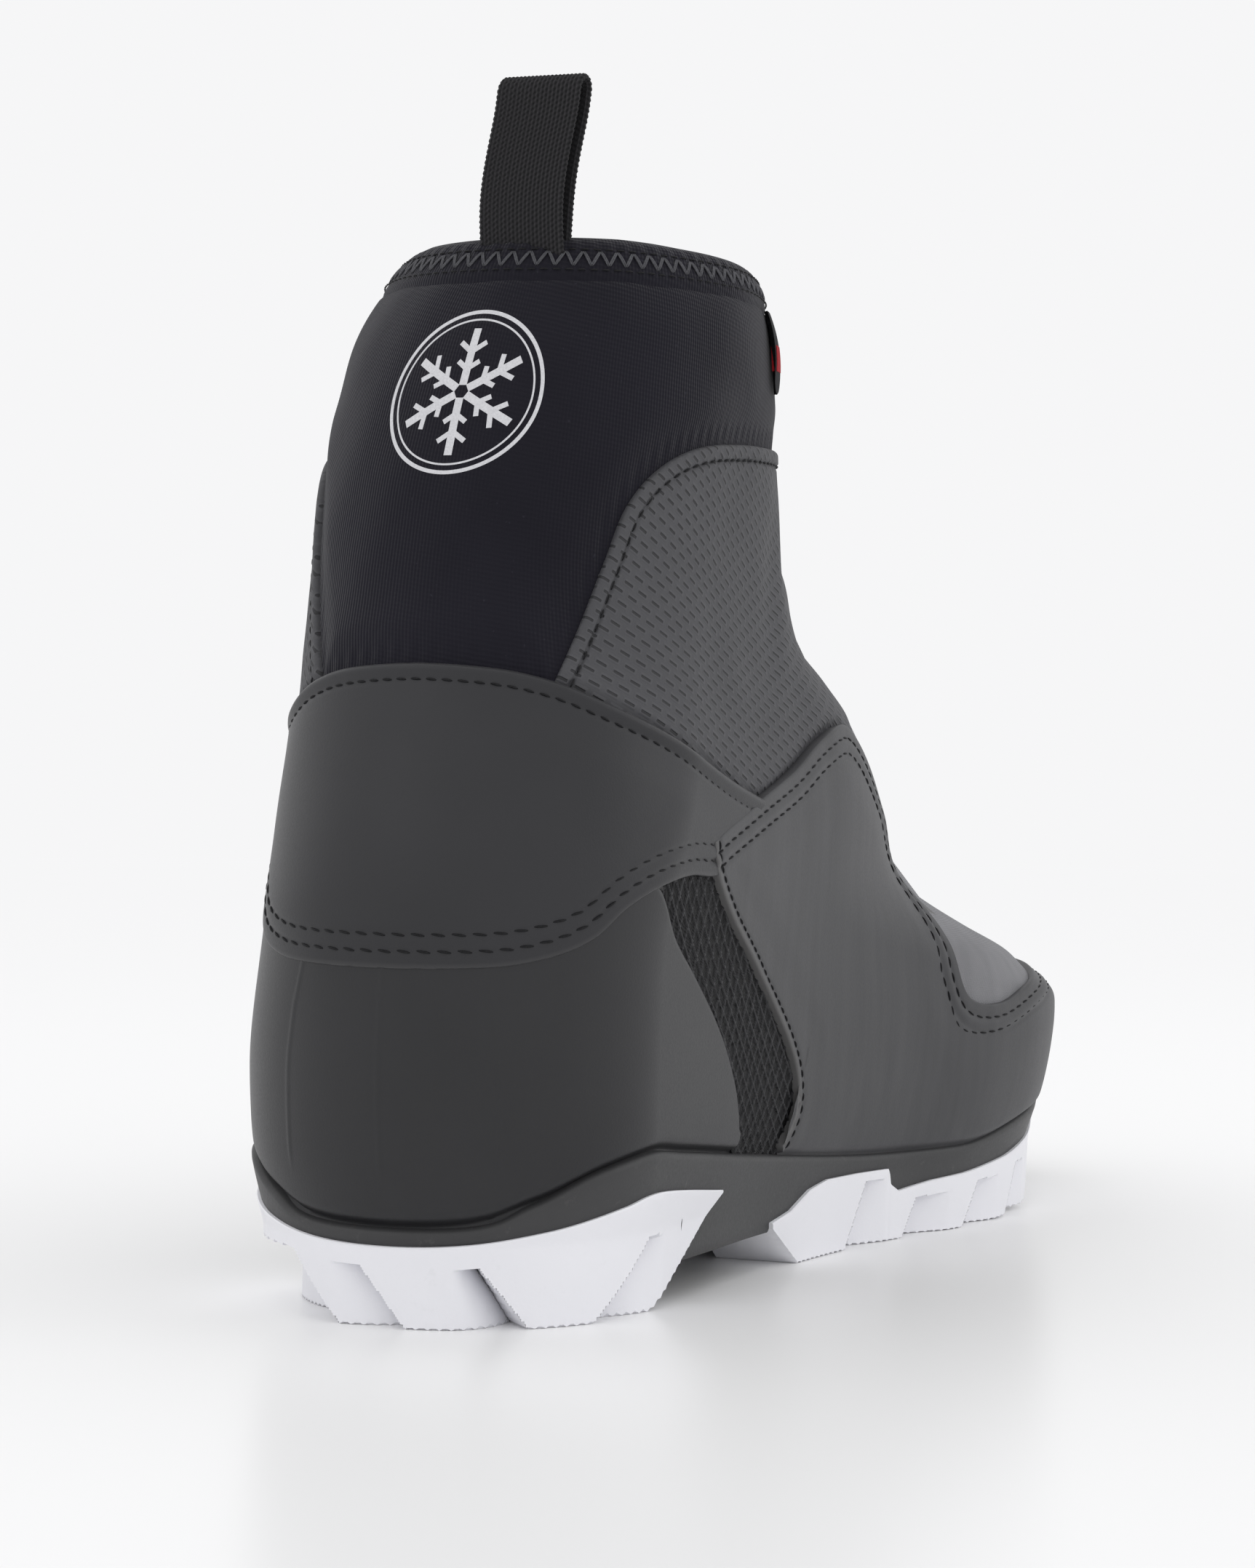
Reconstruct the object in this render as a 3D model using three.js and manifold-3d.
// Cross country ski boot, right foot, as an assembly of separate solids.
// Millimetres, +Z up, toe along +X, inner (medial) side of the foot along +Y.
import * as THREE from 'three';
import { mergeVertices } from 'three/addons/utils/BufferGeometryUtils.js';
import Module from 'manifold-3d';

const wasm = await Module();
wasm.setup();

// ---------------------------------------------------------------- driving dimensions
const BOOT_LENGTH = 294;        // back of the heel to the tip of the toe
const COLLAR_HEIGHT = 200;      // floor to the rim of the cuff, at the back
const FOREFOOT_WIDTH = 102;     // across the ball of the foot, outside the rand
const FIT_GAP = 0.3;            // clearance between pieces that touch

const SKIN = 1.6;               // outer layer: cuff, quarters, vamp, grip panels
const RAISED = 0.8;             // how far the rand, band and counter stand proud of that skin
const LAYER_GAP = 0.4;          // clearance between the layers of the wall
const STIFFENER = 1.1;          // heel stiffener, toe puff and tongue, behind the skin
const LINING = 2.7;             // foam-backed lining
const BOARD = 1.6;              // lasting board
const FOOTBED = 3.5;            // removable insole

const RUBBER_RIM = 3;           // wall of the rubber cup that holds the midsole
const RIM_STANDS_OUT = 0.8;     // how far the rubber stands outside the upper
const GROOVE_WIDTH = 7;         // each of the two guide grooves under the sole
const GROOVE_SPACING = 24;      // between the centres of the two grooves
const LUG_PITCH = 23;           // from one forefoot lug to the next
const LUG_GAP = 6;              // between two forefoot lugs, at the floor
const LUG_DEPTH = 5;            // how deep the gap is
const SHANK_LENGTH = 96;
const SHANK_WIDTH = 16;
const SHANK_THICK = 1.2;

const BAR_DIAMETER = 4;         // steel bar that the ski binding grips
const BAR_LENGTH = 40;
const BAR_FROM_TOE = 13;        // bar axis behind the tip of the toe
const BAR_HEIGHT = 13.5;        // bar axis above the floor
const INSERT_LENGTH = 20;
const INSERT_WIDTH = 50;
const INSERT_FOOT = 9;          // bottom of the toe insert above the floor
const HOOK_POCKET = 24;         // width of the opening where the binding hook reaches the bar

const ZIP_STRIP = 16;           // width of the opening that the zip closes
const ZIP_CHAIN = 5;            // width of the closed teeth
const ZIP_FOOT_LEVEL = 66;      // height of the zip's lower end, over the toes
const ZIP_TRAVEL_LOW = 165;     // height of the slider at the lower end of its straight run
const ZIP_TRAVEL_HIGH = 187;    // height of the slider when the zip is closed
const SLIDER_LENGTH = 11;
const SLIDER_WIDTH = 8.5;
const PULL_LENGTH = 17;
const PULL_WIDTH = 6;
const PULL_PIN = 1.6;

const WEBBING_WIDTH = 17;       // pull loop at the back of the collar
const WEBBING_THICK = 1.3;
const LOOP_HEIGHT = 29;
const LOOP_GAP = 6.5;           // inside the loop, front to back
const LOOP_LEAN = 0.14;         // sideways lean of the loop, as a slope
const TAG_LENGTH = 18;          // folded fabric tag under the hem
const TAG_WIDTH = 9;
const TAG_THICK = 1.6;

// ---------------------------------------------------------------- the shape of the foot
const COLUMNS = 32;             // facets around the boot
// The profile points below are drawn for a 294 mm boot with a 200 mm collar and a 102 mm forefoot.
const DRAWN = { length: 294, collar: 200, width: 102, ankle: 60 };
const alongX = (x) => x * BOOT_LENGTH / DRAWN.length;
const stretch = (COLLAR_HEIGHT - DRAWN.ankle) / (DRAWN.collar - DRAWN.ankle);
const upZ = (z) => (z < DRAWN.ankle ? z : DRAWN.ankle + (z - DRAWN.ankle) * stretch);
const downZ = (z) => (z < DRAWN.ankle ? z : DRAWN.ankle + (z - DRAWN.ankle) / stretch);
const widthScale = FOREFOOT_WIDTH / DRAWN.width;

// A smooth curve through (position, value) points: cubic pieces whose slopes are the
// length-weighted means of the straight slopes on both sides. Constant outside the points.
function curve(points) {
  const p = points.map((q) => q[0]);
  const v = points.map((q) => q[1]);
  const last = p.length - 1;
  const gap = p.slice(1).map((q, i) => q - p[i]);
  const slope = gap.map((g, i) => (v[i + 1] - v[i]) / g);
  const bend = p.map((_, i) => {
    if (i === 0) return slope[0];
    if (i === last) return slope[last - 1];
    return (slope[i - 1] * gap[i] + slope[i] * gap[i - 1]) / (gap[i - 1] + gap[i]);
  });
  return (q) => {
    const at = Math.min(Math.max(q, p[0]), p[last]);
    let i = 0;
    while (i < last - 1 && at > p[i + 1]) i += 1;
    const t = (at - p[i]) / gap[i];
    const ease = t * t * (3 - 2 * t);
    return v[i] * (1 - ease) + v[i + 1] * ease
      + gap[i] * (t * (1 - t) * (1 - t) * bend[i] - t * t * (1 - t) * bend[i + 1]);
  };
}

function smoothStep(low, high, q) {
  const t = Math.min(Math.max((q - low) / (high - low), 0), 1);
  return t * t * (3 - 2 * t);
}

// Quarter-circle rise from 0 to 1: rounds the plan outline off at the heel and at the toe.
function roundEnd(q) {
  const t = Math.min(Math.max(q, 0), 1);
  return Math.sqrt(1 - (1 - t) * (1 - t));
}

// Back and front outline by height, half widths by height (ankle) and by length (foot).
const backX = curve([[15, 8], [30, 4], [52, 0], [76, 0], [100, 7], [130, 16], [160, 22],
  [182, 29], [200, 39]]);
const frontX = curve([[15, 286], [30, 294], [40, 294], [47, 288], [53, 275], [58, 264], [64, 238],
  [74, 206], [90, 193], [110, 176], [120, 161], [130, 148.5], [140, 139.6], [150, 136],
  [160, 132.4], [170, 128.8], [185, 123.4], [200, 118]]);
const ankleMedial = curve([[15, 36], [60, 40], [90, 41], [130, 41], [170, 42], [188, 41], [200, 35]]);
const ankleLateral = curve([[15, 36], [60, 39], [90, 40], [130, 38], [170, 38], [188, 36], [200, 31]]);
const ankleShift = curve([[15, 1], [80, -2], [140, 1], [200, -5]]);
const footLateral = curve([[0, 36], [35, 37.5], [70, 37.5], [100, 36.5], [130, 38], [160, 42],
  [190, 50], [220, 53], [245, 49.5], [270, 46], [294, 40]]);
const footMedial = curve([[0, 38.5], [35, 41], [70, 37.5], [100, 35.5], [130, 36], [160, 40],
  [190, 44], [220, 46], [245, 46], [270, 43], [294, 40]]);
const footShift = curve([[0, 3], [65, 2], [125, 0], [205, -1], [255, 6], [294, 10]]);
const toeRound = curve([[15, 46], [38, 46], [47, 62], [55, 92], [64, 96], [80, 84], [100, 66],
  [130, 58], [200, 54]]);
const heelRound = curve([[15, 36], [60, 38], [120, 42], [200, 46]]);
const lowTuck = curve([[15, 0.93], [28, 1], [45, 1.03], [70, 1], [200, 1]]);

// The outer face of the skin. turn runs from -pi (back) through -pi/2 (lateral), 0 (toe) and
// pi/2 (medial) to pi; height is the real height above the floor.
function skinPoint(turn, height) {
  const z = downZ(height);
  const medial = turn >= 0;
  const back = backX(z);
  const front = frontX(z);
  const x = front - (front - back) * (1 - Math.cos(turn)) / 2;
  const foot = (medial ? footMedial(x) : footLateral(x)) * lowTuck(z);
  const ankle = medial ? ankleMedial(z) : ankleLateral(z);
  const half = foot + (ankle - foot) * smoothStep(40, 125, z);
  const rounded = half * roundEnd((x - back) / heelRound(z)) * roundEnd((front - x) / toeRound(z));
  const shift = footShift(x) * (1 - smoothStep(40, 120, z)) + ankleShift(z);
  return new THREE.Vector3(alongX(x), ((medial ? rounded : -rounded) + shift) * widthScale, height);
}

function wrapTurn(turn) {
  if (turn > Math.PI) return turn - 2 * Math.PI;
  return turn < -Math.PI ? turn + 2 * Math.PI : turn;
}

// Outward unit normal, from the differences along the turn and along the height.
function skinNormal(turn, height) {
  const step = Math.PI / COLUMNS;
  const around = skinPoint(wrapTurn(turn + step), height)
    .sub(skinPoint(wrapTurn(turn - step), height));
  const rise = 2;
  const upward = skinPoint(turn, height + rise).sub(skinPoint(turn, height - rise));
  return around.cross(upward).normalize();
}

const offsetPoint = (turn, height, out) => skinPoint(turn, height)
  .addScaledVector(skinNormal(turn, height), out);

// ---------------------------------------------------------------- closed solids
const WALL_LEVELS = [12, 24, 33, 41, 47, 51.5, 55.5, 59.5, 64, 70, 79, 90, 102, 113, 125, 139, 156,
  176, 190, 200].map(upZ);
const SOLE_LEVELS = [-2, 12, 24, 33, 41];

function toSolid(geometry) {
  const plain = geometry.clone();
  plain.deleteAttribute('normal');
  plain.deleteAttribute('uv');
  const merged = mergeVertices(plain, 1e-4);
  return new wasm.Manifold(new wasm.Mesh({
    numProp: 3,
    vertProperties: new Float32Array(merged.attributes.position.array),
    triVerts: new Uint32Array(merged.index.array),
  }));
}

function fromFaces(points, faces) {
  const geometry = new THREE.BufferGeometry();
  geometry.setAttribute('position', new THREE.Float32BufferAttribute(points.flatMap((p) => p.toArray()), 3));
  geometry.setIndex(faces.flat());
  return geometry;
}

// Quads between two rings of points that start at a and b, the second ring lying above.
function ringFaces(a, b, count) {
  const faces = [];
  for (let j = 0; j < count; j += 1) {
    const k = (j + 1) % count;
    faces.push([a + j, a + k, b + k], [a + j, b + k, b + j]);
  }
  return faces;
}

function skinRings(levels, out) {
  return levels.flatMap((height) => Array.from({ length: COLUMNS }, (_, j) => (
    offsetPoint(-Math.PI + 2 * Math.PI * j / COLUMNS, height, out))));
}

// The wall between two distances from the skin, open at the top and at the bottom.
function wall(outer, inner) {
  const points = [...skinRings(WALL_LEVELS, outer), ...skinRings(WALL_LEVELS, inner)];
  const half = points.length / 2;
  const faces = [];
  for (let i = 0; i + 1 < WALL_LEVELS.length; i += 1) {
    const a = i * COLUMNS;
    faces.push(...ringFaces(a, a + COLUMNS, COLUMNS));
    faces.push(...ringFaces(half + a, half + a + COLUMNS, COLUMNS).map((f) => [f[0], f[2], f[1]]));
  }
  faces.push(...ringFaces(half, 0, COLUMNS));
  faces.push(...ringFaces(half - COLUMNS, 2 * half - COLUMNS, COLUMNS));
  return toSolid(fromFaces(points, faces));
}

// The whole plan of the foot, solid, at one distance from the skin.
function plug(out) {
  const points = skinRings(SOLE_LEVELS, out);
  const faces = [];
  for (let i = 0; i + 1 < SOLE_LEVELS.length; i += 1) {
    faces.push(...ringFaces(i * COLUMNS, (i + 1) * COLUMNS, COLUMNS));
  }
  const middle = alongX(DRAWN.length / 2);
  const low = points.length;
  points.push(new THREE.Vector3(middle, 0, SOLE_LEVELS[0]));
  points.push(new THREE.Vector3(middle, 0, SOLE_LEVELS.at(-1)));
  const top = low - COLUMNS;
  for (let j = 0; j < COLUMNS; j += 1) {
    const k = (j + 1) % COLUMNS;
    faces.push([k, j, low], [top + j, top + k, low + 1]);
  }
  return toSolid(fromFaces(points, faces));
}

const FAR = 400;
// Directions of an outline's first axis, its second axis and its depth, in each view.
const axes = {
  side: new THREE.Matrix4().makeBasis(new THREE.Vector3(1, 0, 0), new THREE.Vector3(0, 0, 1),
    new THREE.Vector3(0, -1, 0)),
  front: new THREE.Matrix4().makeBasis(new THREE.Vector3(0, 1, 0), new THREE.Vector3(0, 0, 1),
    new THREE.Vector3(1, 0, 0)),
};

// A straight-sided block: an outline in the side view (x, z) or the front view (y, z), carried
// from one depth to another. Depth is -y in the side view and x in the front view.
function block(view, outline, from = -FAR / 2, to = FAR / 2) {
  const shape = new THREE.Shape(outline.map((p) => new THREE.Vector2(p[0], p[1])));
  const geometry = new THREE.ExtrudeGeometry(shape, { depth: to - from, bevelEnabled: false });
  geometry.translate(0, 0, from);
  geometry.applyMatrix4(axes[view]);
  return toSolid(geometry);
}

function brick(size, place) {
  const geometry = new THREE.BoxGeometry(...size);
  geometry.translate(...place);
  return toSolid(geometry);
}

// A closed section carried along a row of frames, each with an origin and two unit directions.
function sweep(frames, section) {
  const points = frames.flatMap((f) => section.map((s) => f.origin.clone()
    .addScaledVector(f.across, s[0]).addScaledVector(f.out, s[1])));
  const n = section.length;
  const faces = [];
  for (let i = 0; i + 1 < frames.length; i += 1) faces.push(...ringFaces(i * n, (i + 1) * n, n));
  for (let j = 1; j + 1 < n; j += 1) {
    const end = points.length - n;
    faces.push([0, j + 1, j], [end, end + j, end + j + 1]);
  }
  return toSolid(fromFaces(points, faces));
}

function toGeometry(solid) {
  const mesh = solid.getMesh();
  const geometry = new THREE.BufferGeometry();
  geometry.setAttribute('position', new THREE.BufferAttribute(new Float32Array(mesh.vertProperties), 3));
  geometry.setIndex(Array.from(mesh.triVerts));
  geometry.computeVertexNormals();
  return geometry;
}

// ---------------------------------------------------------------- seams, in the side view
// Each seam is a smooth line through a few (x, z) points that the neighbours on both sides share.
const sideLine = (points, steps = 2) => new THREE.SplineCurve(
  points.map((p) => new THREE.Vector2(alongX(p[0]), upZ(p[1]))))
  .getPoints((points.length - 1) * steps).map((p) => [p.x, p.y]);

const seam = {
  feather: sideLine([[-20, 18], [7, 18], [16, 22.5], [26, 28], [40, 30.5], [55, 29], [84, 25.5],
    [116, 22], [150, 19], [178, 18], [192, 18.5], [211, 21.5], [250, 25.5], [280, 28], [320, 29.5]]),
  bandFoot: sideLine([[-20, 66], [1, 66], [10, 67.5], [18, 71], [25, 76.5], [34, 80]]),
  bandFootFront: sideLine([[34, 80], [46, 81.5], [59, 81]]),
  counterFront: sideLine([[34, 80], [43, 70.5], [53, 63], [63.5, 54.5], [72, 46], [78, 38.5],
    [82, 31], [82, 10]]),
  randTail: sideLine([[56, 87.5], [59, 81]], 1),
  randRear: sideLine([[59, 81], [68, 72.5], [80, 64], [92, 54.5], [101, 46.5], [107, 39],
    [109, 31.5], [105, 25], [98, 10]]),
  randTopRear: sideLine([[56, 87.5], [63, 90], [80, 95]]),
  randTop: sideLine([[80, 95], [98, 100], [111, 105], [123, 108.3], [131, 108.3], [141, 104]]),
  bandTopRear: sideLine([[-20, 121], [8, 121], [15, 120], [21, 117.3]]),
  bandTop: sideLine([[21, 117.3], [30, 112], [46, 105], [64, 99], [80, 95]]),
  quarterRear: sideLine([[21, 117.3], [28, 129], [33, 139], [38, 150], [45, 157], [55, 161],
    [70, 162.5], [98, 163], [220, 164]]),
  vampTop: sideLine([[141, 104], [152, 112], [168, 120], [220, 132]]),
  randFront: sideLine([[141, 104], [154, 95.5], [165, 86], [171, 77], [173, 68], [173, 58],
    [177, 50], [189, 48.5], [205, 52], [225, 54.5], [245, 54], [268, 49.5], [320, 45]]),
  hemFoot: sideLine([[-20, 192], [45, 192], [90, 190], [220, 186]]),
  rim: sideLine([[-20, 199.5], [45, 199.5], [90, 197], [220, 194]]),
};
const reversed = (line) => [...line].reverse();
const raised = (line, by) => line.map((p) => [p[0], p[1] + by]);

// A thin wall along a seam, as wide as the gap that two sewn pieces keep.
function knife(line) {
  const left = [];
  const right = [];
  line.forEach((p, i) => {
    const a = line[Math.max(i - 1, 0)];
    const b = line[Math.min(i + 1, line.length - 1)];
    const length = Math.hypot(b[0] - a[0], b[1] - a[1]);
    const shift = [-(b[1] - a[1]) / length * FIT_GAP / 2, (b[0] - a[0]) / length * FIT_GAP / 2];
    left.push([p[0] + shift[0], p[1] + shift[1]]);
    right.push([p[0] - shift[0], p[1] - shift[1]]);
  });
  return block('side', [...left, ...reversed(right)]);
}

const above = (line) => block('side', [...line, [FAR, FAR], [-FAR, FAR]]);
const between = (low, high) => block('side', [...low, ...reversed(high)]);

// ---------------------------------------------------------------- the zip's place on the front
// Height of the middle of the front, sideways place of the line that the zip follows.
const frontCentre = (height) => skinPoint(0, height);
function frontStrip(halfWidth, low, high) {
  const levels = Array.from({ length: 29 }, (_, i) => low + (high - low) * i / 28);
  const right = levels.map((z) => [frontCentre(z).y + halfWidth, z]);
  const left = levels.map((z) => [frontCentre(z).y - halfWidth, z]);
  return block('front', [...right, ...reversed(left)], alongX(85), FAR);
}
function frontFrame(height, out) {
  const along = frontCentre(height + 1).sub(frontCentre(height - 1)).normalize();
  const across = new THREE.Vector3(0, 1, 0);
  across.addScaledVector(along, -across.dot(along)).normalize();
  const outward = across.clone().cross(along);
  return { origin: frontCentre(height).addScaledVector(outward, out), across, out: outward, along };
}
const zipFoot = upZ(ZIP_FOOT_LEVEL);
const zipTravelLow = upZ(ZIP_TRAVEL_LOW);
const zipTravelHigh = upZ(ZIP_TRAVEL_HIGH);
const zipTop = zipTravelHigh + SLIDER_LENGTH / 2 + 1;

// ---------------------------------------------------------------- outer layer
const seams = ['bandFoot', 'bandFootFront', 'counterFront', 'randTail', 'randRear', 'randTopRear',
  'randTop', 'bandTopRear', 'bandTop', 'quarterRear', 'vampTop', 'randFront', 'hemFoot'];
const zipOpening = frontStrip(ZIP_STRIP / 2, zipFoot, FAR);
const trimmed = (solid) => seams.reduce((rest, name) => rest.subtract(knife(seam[name])), solid)
  .subtract(zipOpening)
  .intersect(between(raised(seam.feather, FIT_GAP), seam.rim));
const skin = trimmed(wall(0, -SKIN));
const raisedSkin = trimmed(wall(RAISED, -SKIN));
const region = (...lines) => block('side', lines.flat());

const EDGE = 2 * DRAWN.length;
const outer = {
  heel_counter: raisedSkin.intersect(region(seam.bandFoot, seam.counterFront, [[-20, 0]])),
  ankle_band: raisedSkin.intersect(region(seam.bandFoot, seam.bandFootFront, reversed(seam.randTail),
    seam.randTopRear, reversed(seam.bandTop), reversed(seam.bandTopRear))),
  rand: raisedSkin.intersect(region(seam.randTopRear, seam.randTop, seam.randFront,
    [[EDGE, 40], [EDGE, 0]], reversed(seam.randRear), reversed(seam.randTail))),
  vamp: skin.intersect(region(seam.vampTop, [[EDGE, 140], [EDGE, 40]], reversed(seam.randFront))),
  cuff: skin.intersect(region(seam.bandTopRear, seam.quarterRear, reversed(seam.hemFoot))),
  collar_hem: raisedSkin.intersect(above(seam.hemFoot)),
};
const gripPanels = skin.intersect(region(seam.bandFootFront, seam.randRear, reversed(seam.counterFront)));
const quarters = skin.intersect(region(seam.quarterRear, reversed(seam.vampTop),
  reversed(seam.randTop), reversed(seam.bandTop)));
const lateralHalf = block('side', [[-FAR, -FAR], [FAR, -FAR], [FAR, FAR], [-FAR, FAR]], 0, FAR);
outer.grip_panel_lateral = gripPanels.intersect(lateralHalf);
outer.grip_panel_medial = gripPanels.subtract(lateralHalf);
outer.quarter_lateral = quarters.intersect(lateralHalf);
outer.quarter_medial = quarters.subtract(lateralHalf);

// ---------------------------------------------------------------- inner layers
const stiffenerOut = -SKIN - LAYER_GAP;
const liningOut = stiffenerOut - STIFFENER - LAYER_GAP;
const liningIn = liningOut - LINING;
const boardFoot = sideLine([[-20, 22], [0, 22.5], [20, 25], [46, 28.5], [75, 26], [100, 21.5],
  [133, 20], [160, 18.5], [190, 17.5], [225, 19.5], [262, 23.5], [320, 28]]);
const boardTop = raised(boardFoot, BOARD);
const wallFoot = raised(boardTop, FIT_GAP);
const footbedFoot = wallFoot;
const middleLayer = wall(stiffenerOut, stiffenerOut - STIFFENER).intersect(above(wallFoot))
  .intersect(above(raised(seam.feather, FIT_GAP)));

const inner = {
  heel_stiffener: middleLayer.intersect(block('side', [[-20, 0], [95, 0], [78, 50], [60, 78],
    [40, 92], [-20, 96]].map((p) => [alongX(p[0]), upZ(p[1])]))),
  toe_puff: middleLayer.intersect(block('side', [[252, 0], [EDGE, 0], [EDGE, 70], [244, 62]]
    .map((p) => [alongX(p[0]), upZ(p[1])]))),
  tongue: middleLayer.intersect(frontStrip(23, upZ(66), upZ(192)))
    .subtract(block('side', [[238, 0], [EDGE, 0], [EDGE, 90], [238, 90]]
      .map((p) => [alongX(p[0]), upZ(p[1])]))),
  lining: wall(liningOut, liningIn).intersect(between(wallFoot, seam.rim)),
};

// ---------------------------------------------------------------- sole unit
const rubberPlan = plug(RIM_STANDS_OUT);
const cupPlan = plug(-RUBBER_RIM);
const midsolePlan = plug(-RUBBER_RIM - FIT_GAP);
const treadTopHeel = sideLine([[-20, 14.5], [5, 14.5], [20, 19], [46, 22.5], [75, 19]]);
const treadTopFore = sideLine([[113, 8.3], [124, 12.5], [140, 14.3], [165, 12.3], [190, 11.5],
  [225, 13], [255, 17]]);
const waistFoot = 7.7;
const cupFloor = sideLine([[-20, 18.5], [5, 18.5], [20, 22], [46, 25.5], [75, 23], [100, 17.5],
  [133, 17.3], [160, 15.7], [190, 14.7], [225, 16.5], [262, 20.5], [320, 25]]);

// The line that the binding guides follow under the sole runs from the heel to the toe bar.
const guideHeel = new THREE.Vector2(alongX(8), -8 * widthScale);
const guideToe = new THREE.Vector2(BOOT_LENGTH - BAR_FROM_TOE, 8 * widthScale);
const guideTurn = Math.atan2(guideToe.y - guideHeel.y, guideToe.x - guideHeel.x);
const grooveRoof = sideLine([[-30, 9], [60, 9], [72, 10.5], [112, 10.5], [122, 6.5], [200, 6.5],
  [262, 12.5]], 1);
function groove(side) {
  const shift = side * GROOVE_SPACING / 2;
  const outline = [...grooveRoof, [alongX(262), -5], [-alongX(30), -5]];
  const geometry = block('side', outline.map((p) => [p[0] - guideHeel.x, p[1]]),
    -shift - GROOVE_WIDTH / 2, -shift + GROOVE_WIDTH / 2);
  return geometry.rotate([0, 0, THREE.MathUtils.radToDeg(guideTurn)])
    .translate([guideHeel.x, guideHeel.y, 0]);
}
const grooves = groove(1).add(groove(-1));

const heelFrontTop = treadTopHeel.at(-1);
const heelFrontFoot = [alongX(46), 0];
const heelOutline = [...treadTopHeel, heelFrontFoot, [alongX(6), 0], [alongX(-4), 9]];
const heelNotch = block('side', [[19, -1], [25, -1], [22.8, 7], [21.2, 7]]
  .map((p) => [alongX(p[0]), p[1]]));

const waistStart = [heelFrontTop[0] + FIT_GAP * 1.5, heelFrontTop[1]];
const slant = (heelFrontTop[0] - heelFrontFoot[0]) / heelFrontTop[1];
const waistCorner = [waistStart[0] - (waistStart[1] - waistFoot) * slant, waistFoot];
const toeFoot = [[alongX(256), 17 + FIT_GAP], [alongX(262), 13], [alongX(275), 14.5], [alongX(320), 22]];
const rubberFoot = [...raised(treadTopHeel, FIT_GAP), waistStart, waistCorner,
  [alongX(113), waistFoot], ...raised(treadTopFore, FIT_GAP), ...toeFoot];

const foreStart = alongX(113.6);
const foreEnd = alongX(255);
const toeSpring = curve([[113, 0], [196, 0], [225, 2], [240, 4.5], [255, 9]]
  .map((p) => [alongX(p[0]), p[1]]));
const floorLine = (x) => Math.max(0, toeSpring(x));
function lugOutline() {
  const outline = [];
  for (let x = foreStart; x + LUG_PITCH - LUG_GAP < foreEnd; x += LUG_PITCH) {
    const end = Math.min(x + LUG_PITCH - LUG_GAP, foreEnd - 2);
    outline.push([x, floorLine(x) + LUG_DEPTH], [x + 1.2, floorLine(x)], [end, floorLine(end)]);
    outline.push([end + 1.2, floorLine(end) + LUG_DEPTH]);
  }
  return outline;
}

const insertBack = BOOT_LENGTH - BAR_FROM_TOE - INSERT_LENGTH / 2;
const insertTop = 20;
const barPlace = [guideToe.x, guideToe.y, BAR_HEIGHT];
const insertBlock = (grow) => brick(
  [INSERT_LENGTH + 2 * grow, INSERT_WIDTH + 2 * grow, insertTop - INSERT_FOOT + 2 * grow],
  [insertBack + INSERT_LENGTH / 2, guideToe.y, (insertTop + INSERT_FOOT) / 2]);
function barRod(diameter, length) {
  const geometry = new THREE.CylinderGeometry(diameter / 2, diameter / 2, length, 16);
  geometry.translate(...barPlace);
  return toSolid(geometry);
}
const hookPocket = brick([INSERT_LENGTH - 7, HOOK_POCKET, 12], [barPlace[0], barPlace[1], 11.5]);
const insertSeat = insertBlock(FIT_GAP).add(brick([INSERT_LENGTH + 2 * FIT_GAP,
  INSERT_WIDTH + 2 * FIT_GAP, 14], [barPlace[0], barPlace[1], 10]))
  .intersect(plug(-1.5 + FIT_GAP));

const shankFrom = alongX(68);
const shankLine = boardFoot.filter((p) => p[0] > shankFrom && p[0] < shankFrom + SHANK_LENGTH);
const shankBlock = (grow) => block('side', [...raised(shankLine, -2 * FIT_GAP + grow),
  ...reversed(raised(shankLine, -2 * FIT_GAP - SHANK_THICK - grow))]
  .map((p, i, all) => (p[0] === all[0][0] ? [p[0] - grow, p[1]] : p))
  .map((p) => (p[0] === shankLine.at(-1)[0] ? [p[0] + grow, p[1]] : p)),
-SHANK_WIDTH / 2 - grow, SHANK_WIDTH / 2 + grow);

const sole = {
  outsole: rubberPlan.intersect(between(rubberFoot, seam.feather))
    .subtract(cupPlan.intersect(above(cupFloor))).subtract(grooves).subtract(insertSeat),
  heel_tread: rubberPlan.intersect(block('side', heelOutline)).subtract(grooves)
    .subtract(heelNotch),
  forefoot_tread: rubberPlan.intersect(block('side', [...lugOutline(), ...reversed(treadTopFore)]))
    .subtract(grooves),
  toe_insert: insertBlock(0).intersect(plug(-1.5)).subtract(hookPocket)
    .subtract(barRod(BAR_DIAMETER + 2 * FIT_GAP, BAR_LENGTH + 2 * FIT_GAP)),
  toe_bar: barRod(BAR_DIAMETER, BAR_LENGTH),
  midsole: midsolePlan.intersect(between(raised(cupFloor, FIT_GAP), raised(boardFoot, -FIT_GAP)))
    .subtract(shankBlock(FIT_GAP)).subtract(insertSeat),
  shank: shankBlock(0),
  lasting_board: plug(liningOut).intersect(between(boardFoot, boardTop)),
  footbed: plug(liningIn - FIT_GAP).intersect(between(footbedFoot, raised(footbedFoot, FOOTBED))),
};

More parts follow.
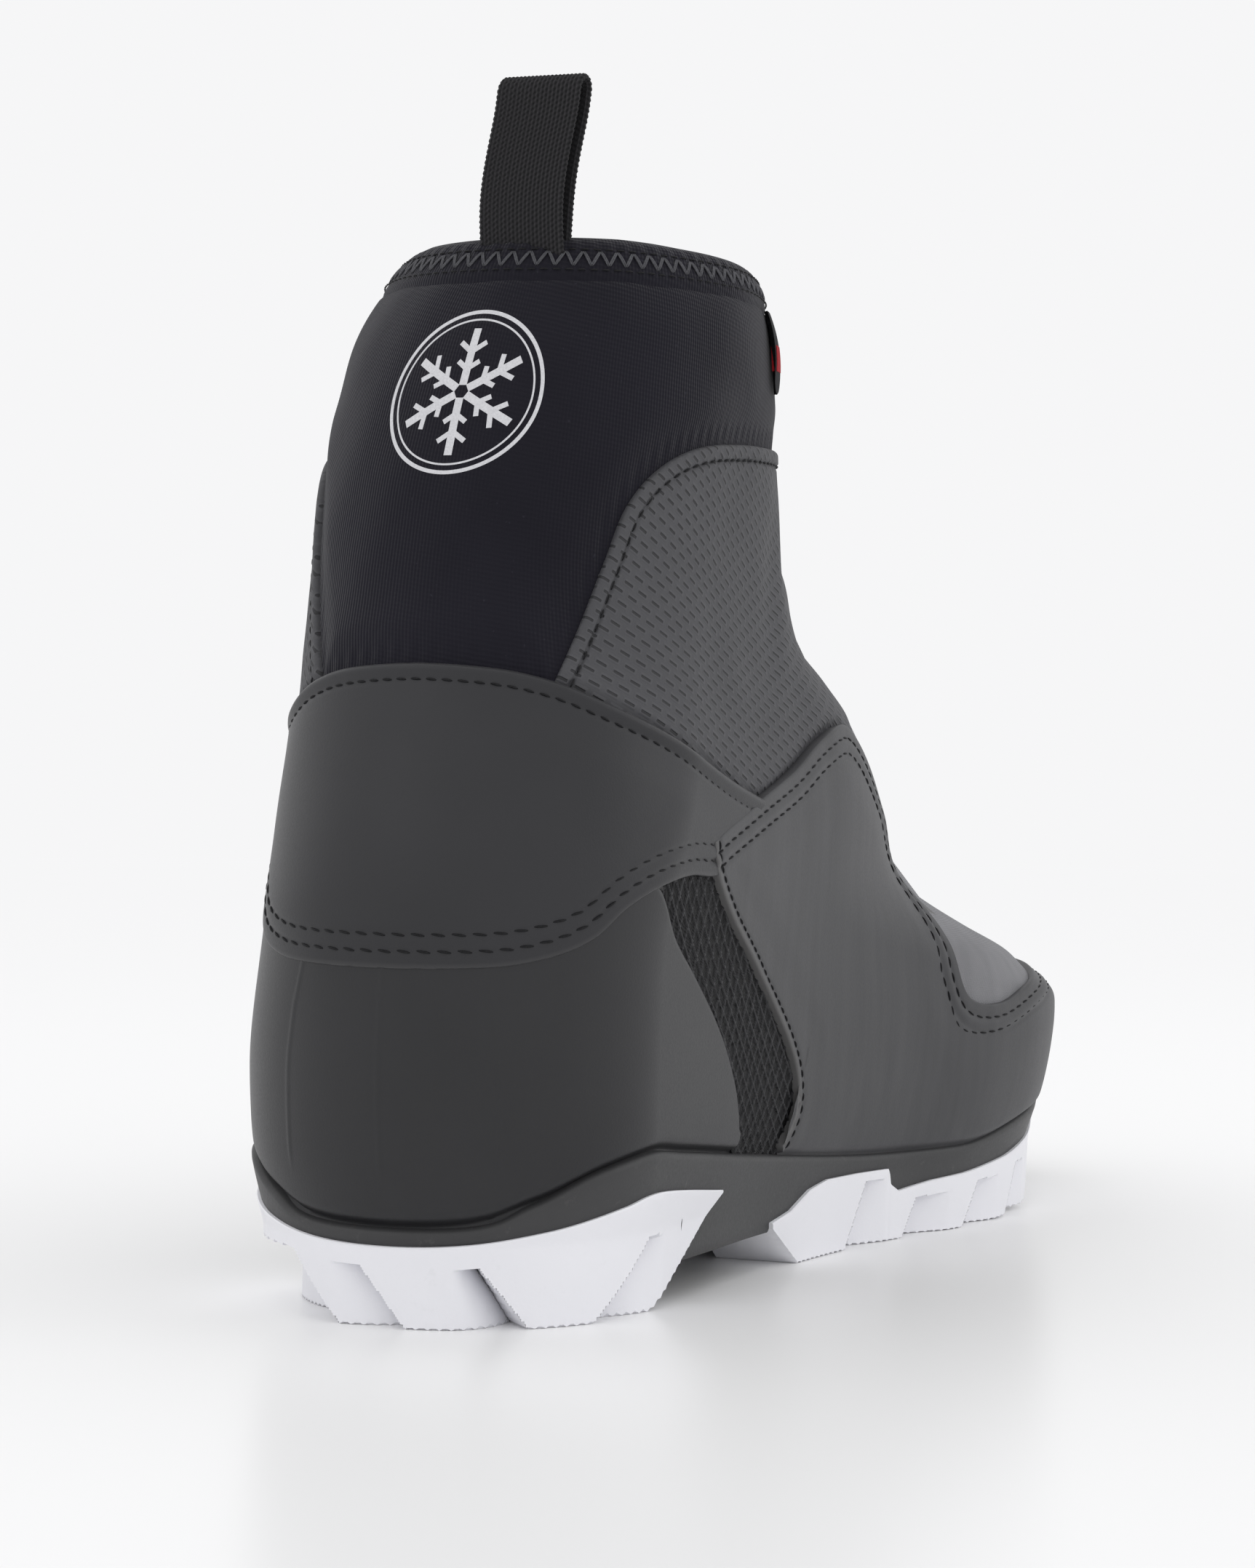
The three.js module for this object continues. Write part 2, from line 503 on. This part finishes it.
// ---------------------------------------------------------------- zip
const TAPE_EDGE = ZIP_CHAIN / 2 + 2 * FIT_GAP;
const tapeWall = wall(-0.1, -0.9).intersect(between(seam.feather, seam.rim));
const tapes = tapeWall.intersect(frontStrip(ZIP_STRIP / 2 - FIT_GAP, zipFoot + FIT_GAP, FAR))
  .subtract(frontStrip(TAPE_EDGE, 0, FAR));
const tapeSide = (side) => {
  const levels = Array.from({ length: 15 }, (_, i) => zipFoot - 5 + (COLLAR_HEIGHT + 10 - zipFoot) * i / 14);
  const line = levels.map((z) => [frontCentre(z).y, z]);
  return block('front', [...line, [side * FAR, COLLAR_HEIGHT + 5], [side * FAR, zipFoot - 5]]);
};
const chainStart = zipFoot + 4;
const stopLength = 3;
const halfRound = Array.from({ length: 7 }, (_, i) => {
  const a = Math.PI * i / 6;
  return [Math.cos(a) * ZIP_CHAIN / 2, Math.sin(a) * 1.4];
});
const chainSection = [...halfRound.slice(1, -1), [-ZIP_CHAIN / 2, 0], [-ZIP_CHAIN / 2, -0.9],
  [ZIP_CHAIN / 2, -0.9], [ZIP_CHAIN / 2, 0]];
function zipRun(low, high, section) {
  const levels = [low, ...WALL_LEVELS.filter((z) => z > low + 1 && z < high - 1), high];
  return sweep(levels.map((z) => frontFrame(z, 0)), reversed(section));
}
const slideLow = frontFrame(zipTravelLow, 0);
const slideHigh = frontFrame(zipTravelHigh, 0);
const slideAlong = slideHigh.origin.clone().sub(slideLow.origin).normalize();
const slideOut = slideHigh.across.clone().cross(slideAlong).normalize();
const slideFrame = new THREE.Matrix4().makeBasis(slideAlong.clone(), slideOut.clone().cross(slideAlong),
  slideOut).setPosition(slideHigh.origin);

// Slider, in its own frame: x along the zip (up), y across, z away from the boot.
const sliderFloor = 0.5;
const channel = { width: ZIP_CHAIN + 1, roof: 2.2 };
const sliderRoof = channel.roof + 1.3;
const pinPlace = [SLIDER_LENGTH / 2 - 2.5, 0, sliderRoof + 1.3];
const earWide = 1;
const ear = (side) => brick([3.2, earWide, 3], [pinPlace[0], side * (PULL_WIDTH / 2 + FIT_GAP + earWide / 2),
  sliderRoof + 1]);
const slider = brick([SLIDER_LENGTH, SLIDER_WIDTH, sliderRoof - sliderFloor],
  [0, 0, (sliderRoof + sliderFloor) / 2])
  .subtract(brick([SLIDER_LENGTH + 2, channel.width, channel.roof - sliderFloor + 2],
    [0, 0, (channel.roof + sliderFloor) / 2 - 1]))
  .add(ear(1)).add(ear(-1));
const pullPin = new THREE.CylinderGeometry(PULL_PIN / 2, PULL_PIN / 2, PULL_WIDTH, 12);
pullPin.translate(...pinPlace);
const pull = toSolid(pullPin).add(brick([PULL_LENGTH, PULL_WIDTH, 1],
  [pinPlace[0] - PULL_LENGTH / 2, 0, pinPlace[2]]));

const zip = {
  zip_tape_lateral: tapes.intersect(tapeSide(-1)),
  zip_tape_medial: tapes.intersect(tapeSide(1)),
  zip_chain: zipRun(chainStart, zipTop - stopLength - FIT_GAP, chainSection),
  zip_bottom_stop: zipRun(chainStart - stopLength, chainStart - FIT_GAP, chainSection),
  zip_top_stop: zipRun(zipTop - stopLength, zipTop, chainSection),
};

// ---------------------------------------------------------------- pull loop and tag
// The loop is one ribbon folded over: its two layers meet at the rim and part above it.
const loopRoot = skinPoint(Math.PI, COLLAR_HEIGHT);
loopRoot.x += SKIN / 2 + 1.2;
const loopFoot = 1.1;
function loopSide(sign, t) {
  const spread = (LOOP_GAP / 2 + WEBBING_THICK / 2) * Math.sin(Math.PI * Math.min(t, 0.5)) ** 0.8;
  const base = WEBBING_THICK / 2 + 0.1;
  return [sign * Math.max(base, spread), loopFoot + (LOOP_HEIGHT - LOOP_GAP / 2) * t];
}
function loopPath() {
  const rise = Array.from({ length: 9 }, (_, i) => loopSide(-1, i / 8));
  const radius = Math.abs(rise.at(-1)[0]);
  const top = rise.at(-1)[1];
  const arc = Array.from({ length: 7 }, (_, i) => {
    const a = Math.PI * (i + 1) / 8;
    return [-Math.cos(a) * radius, top + Math.sin(a) * radius];
  });
  return [...rise, ...arc, ...rise.map((p) => [-p[0], p[1]]).reverse()];
}
function ribbon(path, width) {
  const frames = path.map((p, i) => {
    const a = path[Math.max(i - 1, 0)];
    const b = path[Math.min(i + 1, path.length - 1)];
    const along = new THREE.Vector3(b[0] - a[0], 0, b[1] - a[1]).normalize();
    const across = new THREE.Vector3(0, 1, 0);
    return {
      origin: new THREE.Vector3(loopRoot.x + p[0], loopRoot.y - p[1] * LOOP_LEAN, loopRoot.z + p[1]),
      across,
      out: along.clone().cross(across),
    };
  });
  const w = width / 2;
  const t = WEBBING_THICK / 2;
  return sweep(frames, [[-w, t], [-w, -t], [w, -t], [w, t]]);
}
const loopJoined = brick([2 * WEBBING_THICK, WEBBING_WIDTH - 1, 2], [loopRoot.x, loopRoot.y,
  loopRoot.z + loopFoot + 1]);
const tail = middleLayer.intersect(brick([60, WEBBING_WIDTH, 12],
  [loopRoot.x - 10, loopRoot.y, COLLAR_HEIGHT - 11]));

const tagTurn = -THREE.MathUtils.degToRad(70);
const tagTop = skinPoint(tagTurn, upZ(189));
const tagOut = skinNormal(tagTurn, upZ(184));
const tagAcross = new THREE.Vector3(-tagOut.y, tagOut.x, 0).normalize();
const tagDown = tagAcross.clone().cross(tagOut).normalize();
const tagFrame = new THREE.Matrix4().makeBasis(tagAcross, tagDown, tagAcross.clone().cross(tagDown));
const tagBox = new THREE.BoxGeometry(TAG_WIDTH, TAG_LENGTH, TAG_THICK);
tagBox.translate(0, TAG_LENGTH / 2, 0);
tagBox.applyMatrix4(tagFrame);
tagBox.translate(...tagTop.clone().addScaledVector(tagOut, TAG_THICK / 2 + 1).toArray());

// ---------------------------------------------------------------- materials and assembly
const finish = (color, roughness, metalness = 0) => new THREE.MeshStandardMaterial({ color, roughness, metalness });
const material = {
  neoprene: finish('#2a292f', 0.85),
  band: finish('#3c3c3e', 0.5),
  counter: finish('#3b3b3d', 0.45),
  grip: finish('#2c2c2d', 0.7),
  overlay: finish('#545456', 0.5),
  textured: finish('#57575a', 0.75),
  stretch: finish('#828285', 0.8),
  rubber: finish('#444444', 0.6),
  tread: finish('#f0f0f4', 0.5),
  plastic: finish('#1c1c1d', 0.4),
  steel: finish('#b8b8b8', 0.3, 1),
  foam: finish('#d9d6cc', 0.9),
  board: finish('#cbbf9c', 0.9),
  lining: finish('#26262a', 0.95),
  webbing: finish('#2f2e30', 0.85),
  tape: finish('#222224', 0.9),
};
const boot = new THREE.Group();
function add(name, solid, look) {
  const geometry = solid.isBufferGeometry ? solid : toGeometry(solid);
  const mesh = new THREE.Mesh(geometry, material[look]);
  mesh.name = name;
  boot.add(mesh);
  return mesh;
}
const looks = {
  heel_counter: 'counter', ankle_band: 'band', rand: 'overlay', vamp: 'stretch', cuff: 'neoprene',
  collar_hem: 'neoprene', grip_panel_lateral: 'grip', grip_panel_medial: 'grip',
  quarter_lateral: 'textured', quarter_medial: 'textured', heel_stiffener: 'plastic',
  toe_puff: 'plastic', tongue: 'foam', lining: 'lining', outsole: 'rubber', heel_tread: 'tread',
  forefoot_tread: 'tread', toe_insert: 'plastic', toe_bar: 'steel', midsole: 'foam', shank: 'steel',
  lasting_board: 'board', footbed: 'foam', zip_tape_lateral: 'tape', zip_tape_medial: 'tape',
  zip_chain: 'plastic', zip_bottom_stop: 'steel', zip_top_stop: 'steel',
};
for (const pieces of [sole, inner, outer, zip]) {
  for (const [name, solid] of Object.entries(pieces)) add(name, solid, looks[name]);
}
for (const [name, solid] of [['zip_slider', slider], ['zip_pull', pull]]) {
  const mesh = add(name, solid, 'steel');
  mesh.applyMatrix4(slideFrame);
}
add('pull_loop', ribbon(loopPath(), WEBBING_WIDTH).add(loopJoined), 'webbing');
add('pull_loop_tail', tail, 'webbing');
add('collar_tag', toGeometry(toSolid(tagBox)), 'tape');

// The boot's own frame starts at the middle of its box, on the floor.
const box = new THREE.Box3().setFromObject(boot);
const middle = box.getCenter(new THREE.Vector3());
boot.position.set(-middle.x, -middle.y, -box.min.z);

export default boot;
